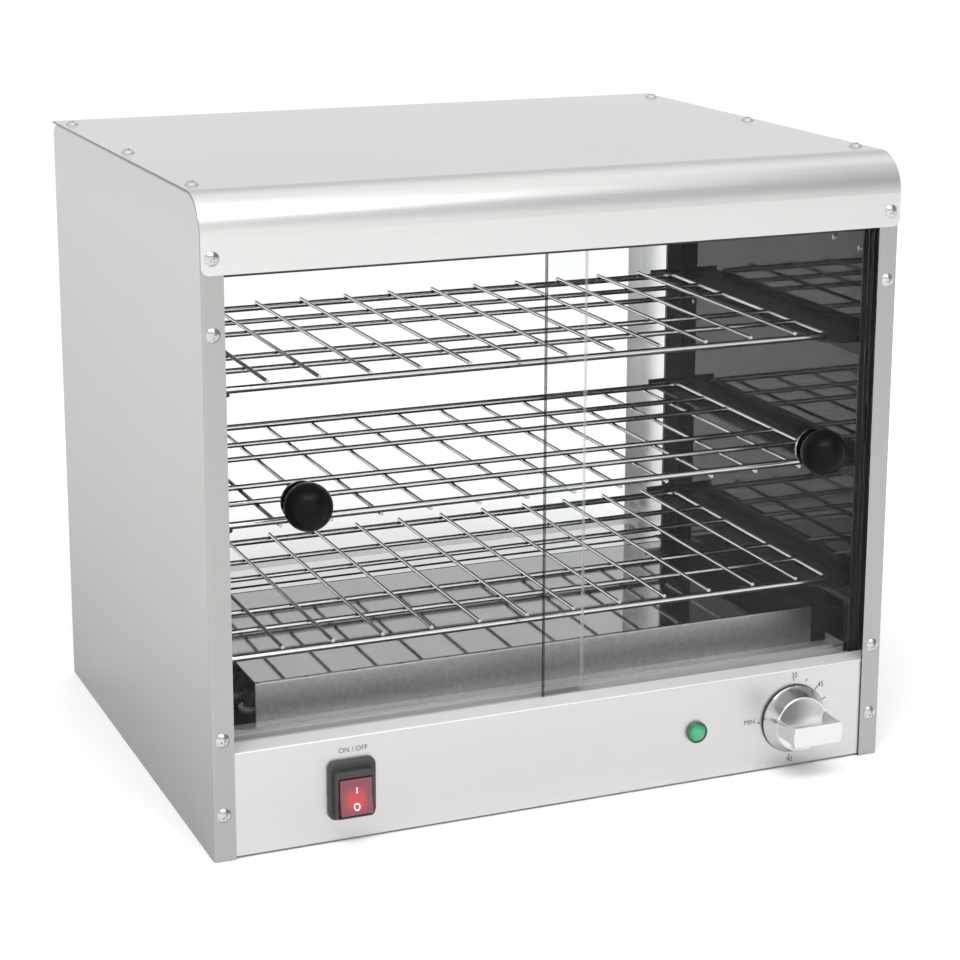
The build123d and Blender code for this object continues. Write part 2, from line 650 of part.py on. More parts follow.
def capillary():
    """Bulb between the heaters, with its thin tube through the floor to the thermostat."""
    z = BULB_HEIGHT
    y = back(BULB_DEPTH)
    bulb = rod((BULB_TUBE_X + 8, y, z), (BULB_TUBE_X + 88, y, z), BULB_RADIUS)
    r = 8.0
    x = BULB_TUBE_X
    end_x = DIAL_X + 4
    end_y = PANEL_FACE + SHEET + 30
    return joined(
        [
            bulb,
            rod((x + r, y, z), (x + 10, y, z), 1.0),
            elbow((x + r, y, z - r), (-1, 0, 0), (0, 1, 0), r, 1.0),
            rod((x, y, z - r), (x, y, DIAL_Z + r), 1.0),
            elbow((x + r, y, DIAL_Z + r), (0, 0, -1), (0, 1, 0), r, 1.0),
            rod((x + r, y, DIAL_Z), (end_x - r, y, DIAL_Z), 1.0),
            elbow((end_x - r, y - r, DIAL_Z), (1, 0, 0), (0, 0, 1), r, 1.0),
            rod((end_x, y - r, DIAL_Z), (end_x, end_y, DIAL_Z), 1.0),
        ]
    )


def bulb_clips():
    """Two posts on the floor that hold the bulb."""
    clips = []
    y, z = back(BULB_DEPTH), BULB_HEIGHT
    for x in (BULB_TUBE_X + 24, BULB_TUBE_X + 72):
        xs = (x - 4, x + 4)
        post = block(xs, (y - 1, y + 1), (FLOOR, z - 2))
        eye = rod((xs[0], y, z), (xs[1], y, z), BULB_RADIUS + 1.4)
        foot = block(xs, (y - 1, y + 9), (FLOOR, FLOOR + SHEET))
        clips.append(joined([post, eye, foot]) - rod((x - 5, y, z), (x + 5, y, z), BULB_RADIUS + 0.1))
    return clips


# Lamp and switch

def lamp_lens():
    """Green domed lens of the indicator, which nearly fills its bezel."""
    y = PANEL_FACE
    stem = rod((LAMP_X, y - 1.0, LAMP_Z), (LAMP_X, y + 3, LAMP_Z), 4.4)
    head = rod((LAMP_X, y - 2.2, LAMP_Z), (LAMP_X, y - 0.8, LAMP_Z), LENS_RADIUS)
    ball = (LENS_RADIUS**2 + LENS_DOME**2) / (2 * LENS_DOME)
    dome = Pos(LAMP_X, y - 2.2 - LENS_DOME + ball, LAMP_Z) * Sphere(ball)
    dome &= rod((LAMP_X, y - 9, LAMP_Z), (LAMP_X, y - 1, LAMP_Z), LENS_RADIUS)
    return joined([stem, head, dome])


def lamp_bezel():
    """Thin ring round the lens, seated on the panel, with a neck through it."""
    y = PANEL_FACE
    ring = rod((LAMP_X, y - 2.6, LAMP_Z), (LAMP_X, y, LAMP_Z), LAMP_RADIUS)
    ring = fillet(ring.edges().filter_by(GeomType.CIRCLE).sort_by(Axis.Y)[0], 0.7)
    neck = rod((LAMP_X, y - 0.5, LAMP_Z), (LAMP_X, y + 3, LAMP_Z), LAMP_HOLE - 0.05)
    bore = rod((LAMP_X, y - 4, LAMP_Z), (LAMP_X, y + 4, LAMP_Z), 4.5)
    seat = rod((LAMP_X, y - 4, LAMP_Z), (LAMP_X, y - 0.7, LAMP_Z), LENS_RADIUS + 0.1)
    return ring.fuse(neck) - bore - seat


def lamp_body():
    """Lamp housing behind the panel with two blade terminals."""
    y = PANEL_FACE + SHEET
    collar = rod((LAMP_X, y + 2, LAMP_Z), (LAMP_X, y + 5, LAMP_Z), 6.4)
    tube = rod((LAMP_X, y + 5, LAMP_Z), (LAMP_X, y + 24, LAMP_Z), 5.4)
    tabs = [
        block((LAMP_X + dx - 0.4, LAMP_X + dx + 0.4), (y + 23, y + 32), (LAMP_Z - 2.4, LAMP_Z + 2.4))
        for dx in (-2.5, 2.5)
    ]
    return joined([collar, tube, *tabs])


def around(centre, half):
    """Low and high limits on both sides of a centre."""
    return (centre - half, centre + half)


def switch_frame():
    """Rubber boot round the rocker: a flange on the panel and a raised rim."""
    y = PANEL_FACE
    xs = around(SWITCH_X, SWITCH_SIZE[0] / 2)
    zs = around(SWITCH_Z, SWITCH_SIZE[1] / 2)
    base = block(xs, (y - 3.4, y), zs)
    base = fillet(base.edges().filter_by(Axis.Y), 4.6)
    base = fillet(base.faces().sort_by(Axis.Y)[0].edges(), 1.5)
    rim = block((xs[0] + 2.6, xs[1] - 2.6), (y - 8.0, y - 1), (zs[0] + 2.1, zs[1] - 5.2))
    rim = fillet(rim.edges().filter_by(Axis.Y), 2.6)
    rim = fillet(rim.faces().sort_by(Axis.Y)[0].edges(), 0.5)
    neck_xs = around(SWITCH_X, SWITCH_CUTOUT[0] / 2 - 0.1)
    neck = block(neck_xs, (y - 1, y + SHEET + 1), around(SWITCH_Z, SWITCH_CUTOUT[1] / 2 - 0.1))
    hole_z = around(SWITCH_Z + ROCKER_DROP, ROCKER_SIZE[1] / 2 + 1.3)
    hole = block(around(SWITCH_X, ROCKER_SIZE[0] / 2 + 0.65), (y - 12, y + 6), hole_z)
    return base.fuse(rim, neck) - hole


def switch_rocker():
    """Rocker on its pivot, tilted with its top pressed in."""
    half_x, half_z = ROCKER_SIZE[0] / 2, ROCKER_SIZE[1] / 2
    profile = make_face(
        Wire(
            [
                Line((-half_z, 0), (-half_z, 6.0)),
                ThreePointArc((-half_z, 6.0), (0, 4.4), (half_z, 6.0)),
                Line((half_z, 6.0), (half_z, 0)),
                Line((half_z, 0), (-half_z, 0)),
            ]
        )
    )
    cap = extrude(Plane.YZ * profile, half_x, both=True)
    cap = fillet(cap.edges().filter_by(Axis.X).sort_by(Axis.Z)[-2:], 1.0)
    hub = Rot(0, 90, 0) * Cylinder(2.4, 2 * half_x)
    bore = Rot(0, 90, 0) * Cylinder(1.25, 3 * half_x)
    rocker = cap.fuse(hub) - bore
    return switch_pivot() * Rot(90, 0, 0) * Rot(-ROCKER_TILT, 0, 0) * rocker


def switch_pivot():
    """Location of the rocker's pivot axis, which runs left to right."""
    return Pos(SWITCH_X, PANEL_FACE - PIVOT_REACH, SWITCH_Z + ROCKER_DROP)


def switch_body():
    """Switch housing behind the panel with the rocker's pivot pin and four terminals."""
    y = PANEL_FACE
    centre = SWITCH_Z + ROCKER_DROP
    housing = block(around(SWITCH_X, 10.5), (y + 3.6, y + 26), around(SWITCH_Z, 14.5))
    tabs = [
        block(around(SWITCH_X + dx, 3), (y + 25, y + 35), around(SWITCH_Z + dz, 0.4))
        for dx in (-5, 5)
        for dz in (-6, 6)
    ]
    pin_y = y - PIVOT_REACH
    reach = ROCKER_SIZE[0] / 2 + 0.6
    pin = rod((SWITCH_X - reach, pin_y, centre), (SWITCH_X + reach, pin_y, centre), 1.2)
    ears = []
    for side in (-1, 1):
        xs = sorted((SWITCH_X + side * (reach - 0.35), SWITCH_X + side * reach))
        ears.append(block(xs, (pin_y - 1.6, y + 4), around(centre, 1.6)))
    return joined([housing, pin, *ears, *tabs])


# Wiring and inlet

def terminal_block():
    """Three-way terminal block on the base plate."""
    z = 2 * SHEET
    y = REAR - 70
    base = block((GLAND_X - 17, GLAND_X + 17), (y - 8, y + 8), (z, z + 6))
    for index in range(3):
        x = GLAND_X - 11 + index * 11
        way = block((x - 4.5, x + 4.5), (y - 9.5, y + 9.5), (z + 5, z + 17))
        way -= rod((x, y - 12, z + 10), (x, y + 12, z + 10), 2.4)
        way -= rod((x, y + 4, z + 10), (x, y + 4, z + 20), 1.8)
        way -= rod((x, y - 4, z + 10), (x, y - 4, z + 20), 1.8)
        base = base.fuse(way)
    return base


def cord_gland():
    """Cord gland: hexagon, threaded neck through the panel and a domed compression cap."""
    y = REAR - SHEET
    place = Plane(origin=(GLAND_X, y, GLAND_Z), x_dir=(1, 0, 0), z_dir=(0, 1, 0))
    middle = (Align.CENTER, Align.CENTER, Align.MIN)
    cap_reach = GLAND_REACH + SHEET
    neck = Pos(0, 0, -10) * Cylinder(GLAND_NECK - 0.1, 12, align=middle)
    hexagon = extrude(RegularPolygon(12.5, 6), 6)
    cap = Pos(0, 0, 5.5) * Cylinder(11, cap_reach - 5.5, align=middle)
    cap = fillet(cap.edges().filter_by(GeomType.CIRCLE).sort_by(Axis.Z)[-1], 4)
    gland = neck.fuse(hexagon, cap)
    for index in range(12):
        rib_angle = index * 30
        rib = Rot(0, 0, rib_angle) * Pos(11.2, 0, 8) * Cylinder(0.7, cap_reach - 14, align=middle)
        gland = gland.fuse(rib)
    bore = Pos(0, 0, -12) * Cylinder(GLAND_BORE, cap_reach + 20, align=middle)
    return place * (gland - bore)


def gland_nut():
    """Locknut of the gland, inside the back panel."""
    y = REAR - 2 * SHEET
    place = Plane(origin=(GLAND_X, y, GLAND_Z), x_dir=(1, 0, 0), z_dir=(0, -1, 0))
    nut = extrude(RegularPolygon(12.5, 6), 5)
    return place * (nut - Cylinder(GLAND_NECK + 0.05, 20))


def wire_lead(points, radius, bend):
    """One insulated lead as straight runs joined by tangent arcs."""
    path = FilletPolyline(*points, radius=bend)
    start = Plane(origin=path @ 0, z_dir=path % 0)
    return sweep(start * Circle(radius), path=path)


def internal_wiring():
    """Leads between the terminal block, switch, thermostat, lamp and heaters."""
    block_y = REAR - 70
    switch_y = PANEL_FACE + 36
    ends = element_end_places()
    leads = [
        [
            (GLAND_X - 11, block_y - 10, 12.4),
            (GLAND_X - 11, block_y - 60, 12.4),
            (SWITCH_X - 5, block_y - 110, 27.6),
            (SWITCH_X - 5, switch_y, 27.6),
        ],
        [
            (GLAND_X, block_y - 10, 12.4),
            (GLAND_X, block_y - 40, 12.4),
            (SWITCH_X + 5, block_y - 90, 27.6),
            (SWITCH_X + 5, switch_y, 27.6),
        ],
        [
            (SWITCH_X + 5, switch_y, 40.0),
            (SWITCH_X + 5, switch_y + 22, 40.0),
            (DIAL_X - 9, PANEL_FACE + 60, 40.5),
            (DIAL_X - 9, PANEL_FACE + 41, 40.5),
        ],
    ]
    bends = (14.0, 14.0, 5.0)
    solids = [wire_lead(points, 1.3, bend) for points, bend in zip(leads, bends)]
    for index in (0, 2):
        x, y = ends[index]
        low = ELEMENT_HEIGHT - 10 - 22 - 7
        other = ends[index + 1]
        solids.append(rod((x, y, low - 2.6), (other[0], other[1], low - 2.6), 1.3))
    return solids


# Fasteners

def pan_screw():
    """Pan-head screw with a cross recess, head up, seated on Z = 0."""
    middle = (Align.CENTER, Align.CENTER, Align.MIN)
    ball = (SCREW_HEAD**2 + SCREW_DOME**2) / (2 * SCREW_DOME)
    dome = Pos(0, 0, SCREW_DOME - ball) * Sphere(ball)
    dome &= Cylinder(SCREW_HEAD - 0.15, 10, align=middle)
    shank = Pos(0, 0, -SCREW_LENGTH) * Cylinder(SCREW_SHANK, SCREW_LENGTH + 0.5, align=middle)
    screw = dome.fuse(shank)
    for turn in (0, 90):
        screw -= Rot(0, 0, turn) * Pos(0, 0, SCREW_DOME) * Box(4.2, 0.9, 2.0)
    return screw


def base_screw(x, y, grow=0.0):
    """Countersunk screw, flush with the bottom flange."""
    middle = (Align.CENTER, Align.CENTER, Align.MIN)
    head = Pos(x, y, 0) * Cone(3.6 + grow, SCREW_SHANK + grow, 1.6, align=middle)
    shank = rod((x, y, 1), (x, y, 7), SCREW_SHANK + grow)
    return head.fuse(shank)


def top_screw_places():
    """X and Y of the screws in the hood's top."""
    return [
        (side * (WIDTH / 2 - TOP_SCREW_INSET), back(depth)) for side in (-1, 1) for depth in TOP_SCREW_DEPTHS
    ]


def hood_screws():
    """Six screws down into the side panels and two through the apron."""
    screws = [Pos(x, y, HEIGHT) * pan_screw() for x, y in top_screw_places()]
    for side in (-1, 1):
        x = side * (WIDTH / 2 - SCREW_INSET)
        screws.append(Pos(x, FRONT - SHEET, HOOD_SCREW_Z) * Rot(90, 0, 0) * Rot(0, 0, 30) * pan_screw())
    return screws


def flange_screws(y, turn, levels):
    """Screws through the side panels' front or rear flanges."""
    screws = []
    for side in (-1, 1):
        for index, z in enumerate(levels):
            x = side * (WIDTH / 2 - SCREW_INSET)
            spin = Rot(0, 0, 25 * index + 12 * side)
            screws.append(Pos(x, y, z) * Rot(turn, 0, 0) * spin * pan_screw())
    return screws


def base_screws():
    """Six countersunk screws through the bottom flanges."""
    x = WIDTH / 2 - SCREW_INSET
    return [base_screw(side * x, back(depth)) for side in (-1, 1) for depth in BASE_SCREW_DEPTHS]


# Build

os.makedirs("parts", exist_ok=True)

left_panel = side_panel()
save(left_panel, "left_side_panel")
save(mirrored(left_panel), "right_side_panel")
save(top_hood(), "top_hood")
save(control_panel(), "control_panel")
save(rear_lower_panel(), "rear_lower_panel")
save(base_plate(), "base_plate")
save(floor_pan(), "floor_pan")

save(front_bottom_track(), "front_bottom_track")
save(front_top_track(), "front_top_track")
left_channel = door_channel()
save(left_channel, "left_door_channel")
save(mirrored(left_channel), "right_door_channel")
save(rear_bottom_rail(), "rear_bottom_rail")
save(rear_top_rail(), "rear_top_rail")
left_post = rear_post()
save(left_post, "rear_left_post")
save(mirrored(left_post), "rear_right_post")
save(rear_glass(), "rear_glass")

for door, limits, depth in (("left", LEFT_PANE, REAR_PANE_DEPTH), ("right", RIGHT_PANE, FRONT_PANE_DEPTH)):
    x = KNOB_X[door]
    save(pane(limits, depth, x), f"{door}_door_glass")
    save(knob(x, depth), f"{door}_door_knob")
    save_group(knob_washers(x, depth), f"{door}_knob_washers")
    save(knob_bolt(x, depth), f"{door}_knob_bolt")

for name, level in RACK_LEVELS.items():
    save(rack(level, RACK_SHIFTS[name], -1 if name == "middle" else 1), f"{name}_rack")
    left_rail = rail(level)
    save(left_rail, f"{name}_left_rail")
    save(mirrored(left_rail), f"{name}_right_rail")

save(element_cover(), "element_cover")
save(element(ELEMENT_DEPTHS[0]), "front_element")
save(element(ELEMENT_DEPTHS[1]), "rear_element")
save_group(element_brackets(), "element_brackets")
save_group(element_insulators(), "element_insulators")

save(thermostat_body(), "thermostat_body")
save(thermostat_shaft(), "thermostat_shaft")
save(capillary(), "thermostat_bulb_and_tube")
save_group(bulb_clips(), "bulb_clips")
save(dial_ring(), "dial_ring")
save(dial_knob(), "dial_knob")

save(lamp_lens(), "lamp_lens")
save(lamp_bezel(), "lamp_bezel")
save(lamp_body(), "lamp_body")
save(switch_frame(), "switch_frame")
save(switch_rocker(), "switch_rocker")
save(switch_body(), "switch_body")

save(terminal_block(), "terminal_block")
save_group(internal_wiring(), "internal_wiring")
save(cord_gland(), "cord_gland")
save(gland_nut(), "gland_nut")

save_group(hood_screws(), "hood_screws")
save_group(flange_screws(FRONT, 90, FLANGE_SCREW_Z), "front_flange_screws")
save_group(flange_screws(REAR, -90, (*FLANGE_SCREW_Z, HOOD_SCREW_Z)), "rear_flange_screws")
save_group(base_screws(), "base_screws")
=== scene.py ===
import math

import bmesh
import bpy
from mathutils import Matrix, Vector


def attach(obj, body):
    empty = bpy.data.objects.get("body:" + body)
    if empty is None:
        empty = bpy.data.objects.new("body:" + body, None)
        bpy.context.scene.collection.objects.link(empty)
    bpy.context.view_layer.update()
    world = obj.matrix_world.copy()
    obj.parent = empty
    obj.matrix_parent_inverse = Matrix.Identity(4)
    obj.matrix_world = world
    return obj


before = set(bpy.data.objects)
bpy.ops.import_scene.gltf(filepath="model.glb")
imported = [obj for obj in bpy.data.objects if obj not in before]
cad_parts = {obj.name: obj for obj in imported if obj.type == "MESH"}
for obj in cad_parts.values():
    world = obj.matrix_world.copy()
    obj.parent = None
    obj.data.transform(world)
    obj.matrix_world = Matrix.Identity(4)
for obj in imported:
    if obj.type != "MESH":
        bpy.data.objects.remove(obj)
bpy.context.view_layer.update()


# Casing: side panels
# Two walls of brushed stainless sheet, folded inwards at the front, back, top and bottom.
# The grain runs upright outside, where the sheet is painted darker towards the bottom and on the
# front flanges as painted shade. The inner faces are polished, so the racks are mirrored in them;
# they are painted near-black as painted shade, and white behind the back glass as painted light.


class Socket:
    """One output of a material's node. Arithmetic on it adds Math nodes."""

    def __init__(self, finish, output):
        self.finish = finish
        self.output = output

    def math(self, operation, first, second=0.0):
        return self.finish.node("ShaderNodeMath", {"operation": operation}, {0: first, 1: second})

    def __add__(self, other):
        return self.math("ADD", self, other)

    def __radd__(self, other):
        return self.math("ADD", other, self)

    def __sub__(self, other):
        return self.math("SUBTRACT", self, other)

    def __rsub__(self, other):
        return self.math("SUBTRACT", other, self)

    def __mul__(self, other):
        return self.math("MULTIPLY", self, other)

    def __rmul__(self, other):
        return self.math("MULTIPLY", other, self)

    def __gt__(self, other):
        return self.math("GREATER_THAN", self, other)

    def __lt__(self, other):
        return self.math("LESS_THAN", self, other)

    def __abs__(self):
        return self.math("ABSOLUTE", self)


class Finish:
    """A procedural material on the piece's own coordinates."""

    def __init__(self, name, **settings):
        self.material = bpy.data.materials.new(name)
        self.material.use_nodes = True
        self.tree = self.material.node_tree
        self.tree.nodes.clear()
        self.surface = self.tree.nodes.new("ShaderNodeBsdfPrincipled")
        self.result = self.tree.nodes.new("ShaderNodeOutputMaterial")
        self.tree.links.new(self.surface.outputs[0], self.result.inputs["Surface"])
        for name, value in settings.items():
            self.set(name.replace("_", " ").title().replace("Ior", "IOR"), value)

    def fill(self, target, value):
        """Links a node's socket to a value's socket, or types the number in."""
        if isinstance(value, Socket):
            self.tree.links.new(value.output, target)
        elif target.type == "RGBA" and isinstance(value, tuple):
            target.default_value = (*value, 1.0)
        else:
            target.default_value = value

    def set(self, name, value):
        """Sets one socket of the surface shader."""
        self.fill(self.surface.inputs[name], value)

    def node(self, kind, settings=None, sockets=None, output=0):
        """Adds a node with its settings first and then its sockets."""
        made = self.tree.nodes.new(kind)
        for name, value in (settings or {}).items():
            if name == "stops":
                ramp = made.color_ramp
                while len(ramp.elements) < len(value):
                    ramp.elements.new(1.0)
                for element, (position, grey) in zip(ramp.elements, value):
                    element.position = position
                    element.color = (grey, grey, grey, 1.0)
            else:
                setattr(made, name, value)
        for name, value in (sockets or {}).items():
            self.fill(made.inputs[name], value)
        return Socket(self, made.outputs[output])

    def place(self, axis=None, source="Object"):
        """The point on the piece, or one of its coordinates, or its facing with source Normal."""
        point = self.node("ShaderNodeTexCoord", output=source)
        if axis is None:
            return point
        return self.node("ShaderNodeSeparateXYZ", sockets={0: point}, output=axis)

    def noise(self, scale, detail=2.0, rough=0.5):
        """Noise from 0 to 1 whose features per metre are given for each axis."""
        stretched = self.node("ShaderNodeMapping", sockets={"Vector": self.place(), "Scale": scale})
        settings = {"Vector": stretched, "Scale": 1.0, "Detail": detail, "Roughness": rough}
        return self.node("ShaderNodeTexNoise", sockets=settings)

    def ramp(self, value, *stops):
        """A curve from one number to another through grey stops."""
        return self.node("ShaderNodeValToRGB", {"stops": stops}, {0: value})

    def mix(self, factor, first, second):
        """A colour between two colours."""
        return self.node("ShaderNodeMix", {"data_type": "RGBA"}, {0: factor, 6: first, 7: second}, 2)

    def bump(self, height, depth, strength=1.0):
        """Sets the surface's bump from a height of 0 to 1 and its depth in metres."""
        sockets = {"Height": height, "Distance": depth, "Strength": strength}
        self.set("Normal", self.node("ShaderNodeBump", sockets=sockets))


def coat(finish, *nodes):
    """Gives CAD nodes their finish."""
    for node in nodes:
        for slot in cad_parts[node].material_slots:
            slot.material = finish.material


UPRIGHT = (1800.0, 1800.0, 14.0)
CROSSWAYS = (14.0, 1800.0, 1800.0)
FRONT_TO_BACK = (1800.0, 14.0, 1800.0)
SCRATCH_DEPTH = 0.00003
SCRATCH_STRENGTH = 0.4
STEEL_LIGHT = (0.66, 0.655, 0.64)
STEEL_DARK = (0.59, 0.585, 0.57)


def brushed_steel(name, grain, roughness):
    """Brushed sheet: fine scratches along the grain, broad streaks and a little handling haze."""
    finish = Finish(name, metallic=1.0)
    scratches = finish.noise(grain, 3.0, 0.6)
    streaks = finish.noise(tuple(s * 0.16 for s in grain), 2.0, 0.5)
    haze = finish.noise((7.0, 7.0, 7.0), 2.0, 0.5)
    tone = finish.ramp(scratches * 0.55 + streaks * 0.2 + haze * 0.25, (0.3, 0.0), (0.7, 1.0))
    finish.set("Roughness", scratches * 0.10 + haze * 0.06 + (roughness - 0.08))
    return finish, scratches, tone


GLASS_BACK = 0.1235
# Painted shade: the darker grey of the side panels' front flanges.
FLANGE_PAINTED_SHADE = (0.385, 0.38, 0.372)
panel_finish, panel_scratches, panel_tone = brushed_steel("upright_brushed_steel", UPRIGHT, 0.36)
inward = (panel_finish.place(0, "Normal") * panel_finish.place(0)) < -0.1
faces_front = panel_finish.place(1, "Normal") < -0.5
behind_glass = panel_finish.place(1) > GLASS_BACK
front_flange = faces_front * (1 - behind_glass)
inside = (inward + faces_front * behind_glass) > 0.5
# Painted shade: the outside of the side panels is painted darker towards the bottom.
painted_shade_up_the_side = panel_finish.ramp(panel_finish.place(2), (0.02, 0.0), (0.36, 1.0))
outside = panel_finish.mix(painted_shade_up_the_side, (0.27, 0.268, 0.26), (0.53, 0.525, 0.514))
outside = panel_finish.mix(front_flange, outside, FLANGE_PAINTED_SHADE)
outside = panel_finish.mix(panel_tone * 0.10, outside, STEEL_LIGHT)
# Painted shade: the inner walls are painted near-black, with the scratches showing in it.
wall_painted_shade_and_light = panel_finish.mix(panel_scratches, (0.032, 0.032, 0.032), (0.070, 0.070, 0.069))
# Painted light: the inner faces behind the back glass are painted white.
wall_painted_shade_and_light = panel_finish.mix(behind_glass, wall_painted_shade_and_light, (0.95, 0.95, 0.95))
panel_finish.set("Base Color", panel_finish.mix(inside, outside, wall_painted_shade_and_light))
inside_roughness = 0.03 + inside * behind_glass * 0.3
panel_finish.set("Roughness", inside_roughness + (1 - inside) * (panel_scratches * 0.10 + 0.28))
panel_finish.bump(panel_scratches * (1 - inside), SCRATCH_DEPTH, SCRATCH_STRENGTH)
coat(panel_finish, "left_side_panel", "right_side_panel")

# Casing: hood
# One sheet over the top that rolls down over the front edge into the apron above the doors.
# Its grain runs across the cabinet, and its hem is folded back under the apron.

hood_finish, hood_scratches, hood_tone = brushed_steel("crossways_brushed_steel", CROSSWAYS, 0.30)
cut_edge_seam_shade = abs(hood_finish.place(0, "Normal")) > 0.9
sheet_colour = hood_finish.mix(hood_tone, (0.64, 0.635, 0.622), (0.69, 0.685, 0.672))
# Painted shade: the cut edges are painted dark grey for the shade in the seam with the sides; the
# sheared edge is also duller than the face.
hood_finish.set("Base Color", hood_finish.mix(cut_edge_seam_shade, sheet_colour, (0.13, 0.13, 0.127)))
hood_finish.bump(hood_scratches, SCRATCH_DEPTH, SCRATCH_STRENGTH)
coat(hood_finish, "top_hood")

# Casing: control panel, back panel and bottom cover
# Folded sheets. The grain runs across the two upright ones, and front to back on the cover.

PANEL_LIGHT = (0.665, 0.655, 0.65)
PANEL_DARK = (0.60, 0.59, 0.585)
front_finish, front_scratches, _ = brushed_steel("control_panel_steel", CROSSWAYS, 0.38)
sill_painted_light = front_finish.place(2, "Normal") > 0.5
sheet = front_finish.mix(front_scratches, PANEL_DARK, PANEL_LIGHT)
# Painted light: upward faces such as the sill are painted pale and mostly non-metallic, for the light
# they catch.
front_finish.set("Base Color", front_finish.mix(sill_painted_light, sheet, (0.80, 0.795, 0.785)))
front_finish.set("Metallic", 1 - sill_painted_light * 0.8)
front_finish.bump(front_scratches, SCRATCH_DEPTH, SCRATCH_STRENGTH)
coat(front_finish, "control_panel", "rear_lower_panel")
cover_finish, cover_scratches, cover_tone = brushed_steel("bottom_cover_steel", FRONT_TO_BACK, 0.42)
cover_finish.set("Base Color", cover_finish.mix(cover_tone, (0.42, 0.42, 0.42), STEEL_DARK))
cover_finish.bump(cover_scratches, SCRATCH_DEPTH, SCRATCH_STRENGTH)
coat(cover_finish, "base_plate")

# Cavity floor, tracks, channels and posts
# Bright rolled sheet on the cavity's floor, painted light before the heater cover and painted shade
# under it, a streaky track painted pale as painted light, and black channels and posts that hold the
# glass, with the posts and the upper track painted black as painted shade.

COVER_FRONT = -0.111
bright_finish = Finish("bright_rolled_steel", metallic=1.0)
rolling = bright_finish.noise((9.0, 60.0, 60.0), 3.0, 0.55)
stains = bright_finish.noise((18.0, 18.0, 18.0), 4.0, 0.6)
before_cover = bright_finish.place(1) < COVER_FRONT
# Painted shade: the floor under the heater cover is painted darker, with stains in it.
painted_shade_under_cover = bright_finish.mix(stains, (0.20, 0.20, 0.197), (0.34, 0.34, 0.335))
# Painted light: the floor before the heater cover is painted pale and less metallic.
painted_light_before_cover = bright_finish.mix(rolling, (0.42, 0.42, 0.415), (0.86, 0.86, 0.85))
bright_finish.set("Base Color", bright_finish.mix(before_cover, painted_shade_under_cover, painted_light_before_cover))
bright_finish.set("Metallic", 1 - before_cover * 0.5)
bright_finish.set("Roughness", stains * 0.12 + rolling * 0.05 + 0.08)
bright_finish.bump(rolling, 0.00015, 0.35)
coat(bright_finish, "floor_pan", "rear_top_rail")

track_finish = Finish("drawn_track_steel", metallic=0.45)
drawing = track_finish.noise((6.0, 700.0, 700.0), 3.0, 0.6)
# Painted light: the track is painted pale and only partly metallic for the light reflected along it;
# the streaks are its drawing marks.
track_finish.set("Base Color", track_finish.mix(drawing, (0.66, 0.66, 0.65), (0.92, 0.92, 0.915)))
track_finish.set("Roughness", drawing * 0.15 + 0.28)
track_finish.bump(drawing, 0.00005, 0.4)
coat(track_finish, "front_bottom_track")

shelf_finish = Finish("polished_shelf_steel", metallic=1.0)
polish = shelf_finish.noise((9.0, 60.0, 60.0), 3.0, 0.55)
shelf_top_painted_light = shelf_finish.place(2, "Normal") > 0.5
# Painted light and shade: the top of the rail is painted white, its sides dark grey.
shelf_side_painted_shade = shelf_finish.mix(polish, (0.10, 0.10, 0.098), (0.20, 0.20, 0.197))
shelf_finish.set("Base Color", shelf_finish.mix(shelf_top_painted_light, shelf_side_painted_shade, (0.95, 0.95, 0.95)))
shelf_finish.set("Roughness", polish * 0.06 + 0.06)
shelf_finish.bump(polish, 0.0001, 0.15)
coat(shelf_finish, "rear_bottom_rail")

black_finish = Finish("satin_black_paint_and_painted_shade")
orange_peel = black_finish.noise((900.0, 900.0, 900.0), 2.0, 0.5)
dust = black_finish.noise((60.0, 60.0, 60.0), 4.0, 0.6)
black_finish.set("Base Color", black_finish.mix(dust, (0.010, 0.010, 0.011), (0.045, 0.045, 0.046)))
black_finish.set("Roughness", dust * 0.2 + 0.32)
black_finish.bump(orange_peel, 0.00003, 0.4)
# The channels are satin black paint; the upper track and the back posts are painted black as painted
# shade.
coat(black_finish, "left_door_channel", "right_door_channel", "front_top_track")
coat(black_finish, "rear_left_post", "rear_right_post")

# Glass
# Three toughened panes of clear glass: two sliding doors and the fixed back. The right door's
# ground edges are painted near-black as painted shade, and the left door's, behind it, and the back
# pane's are painted pale as painted light. Dust lies thinly on the faces.


def glass_finish(name, painted_edge_tone, edge_strength):
    """Clear glass: what lies behind shows through, with the pane's own gloss over it and its edges in
    a painted tone that stands in for light and shade.
    """
    finish = Finish(name, ior=1.5)
    edge = abs(finish.place(0, "Normal")) > 0.5
    film = finish.noise((30.0, 30.0, 30.0), 4.0, 0.65)
    fresnel = finish.node("ShaderNodeFresnel", sockets={"IOR": 1.45})
    finish.set("Base Color", finish.mix(edge, (0.60, 0.61, 0.61), painted_edge_tone))
    finish.set("Roughness", film * 0.04 + 0.01)
    through = finish.tree.nodes.new("ShaderNodeBsdfTransparent")
    through.inputs[0].default_value = (0.985, 0.99, 0.987, 1.0)
    both = finish.tree.nodes.new("ShaderNodeMixShader")
    finish.fill(both.inputs[0], (1 - edge) * (fresnel * 0.30 + film * 0.006) + edge * edge_strength)
    finish.tree.links.new(through.outputs[0], both.inputs[1])
    finish.tree.links.new(finish.surface.outputs[0], both.inputs[2])
    finish.tree.links.new(both.outputs[0], finish.result.inputs["Surface"])
    return finish


# Painted shade on the right door's edges, near-black; painted light on the left door's and the back
# pane's edges, pale.
coat(glass_finish("front_pane_glass", (0.010, 0.014, 0.013), 0.85), "right_door_glass")
coat(glass_finish("rear_pane_glass", (0.80, 0.82, 0.81), 0.5), "left_door_glass", "rear_glass")

# Wire racks and their rails
# Racks of plated wire, with a painted highlight along the sides and painted shade above and below,
# spot-welded where the thin wires cross the rods. The dark angle rails are spot-welded to the walls.

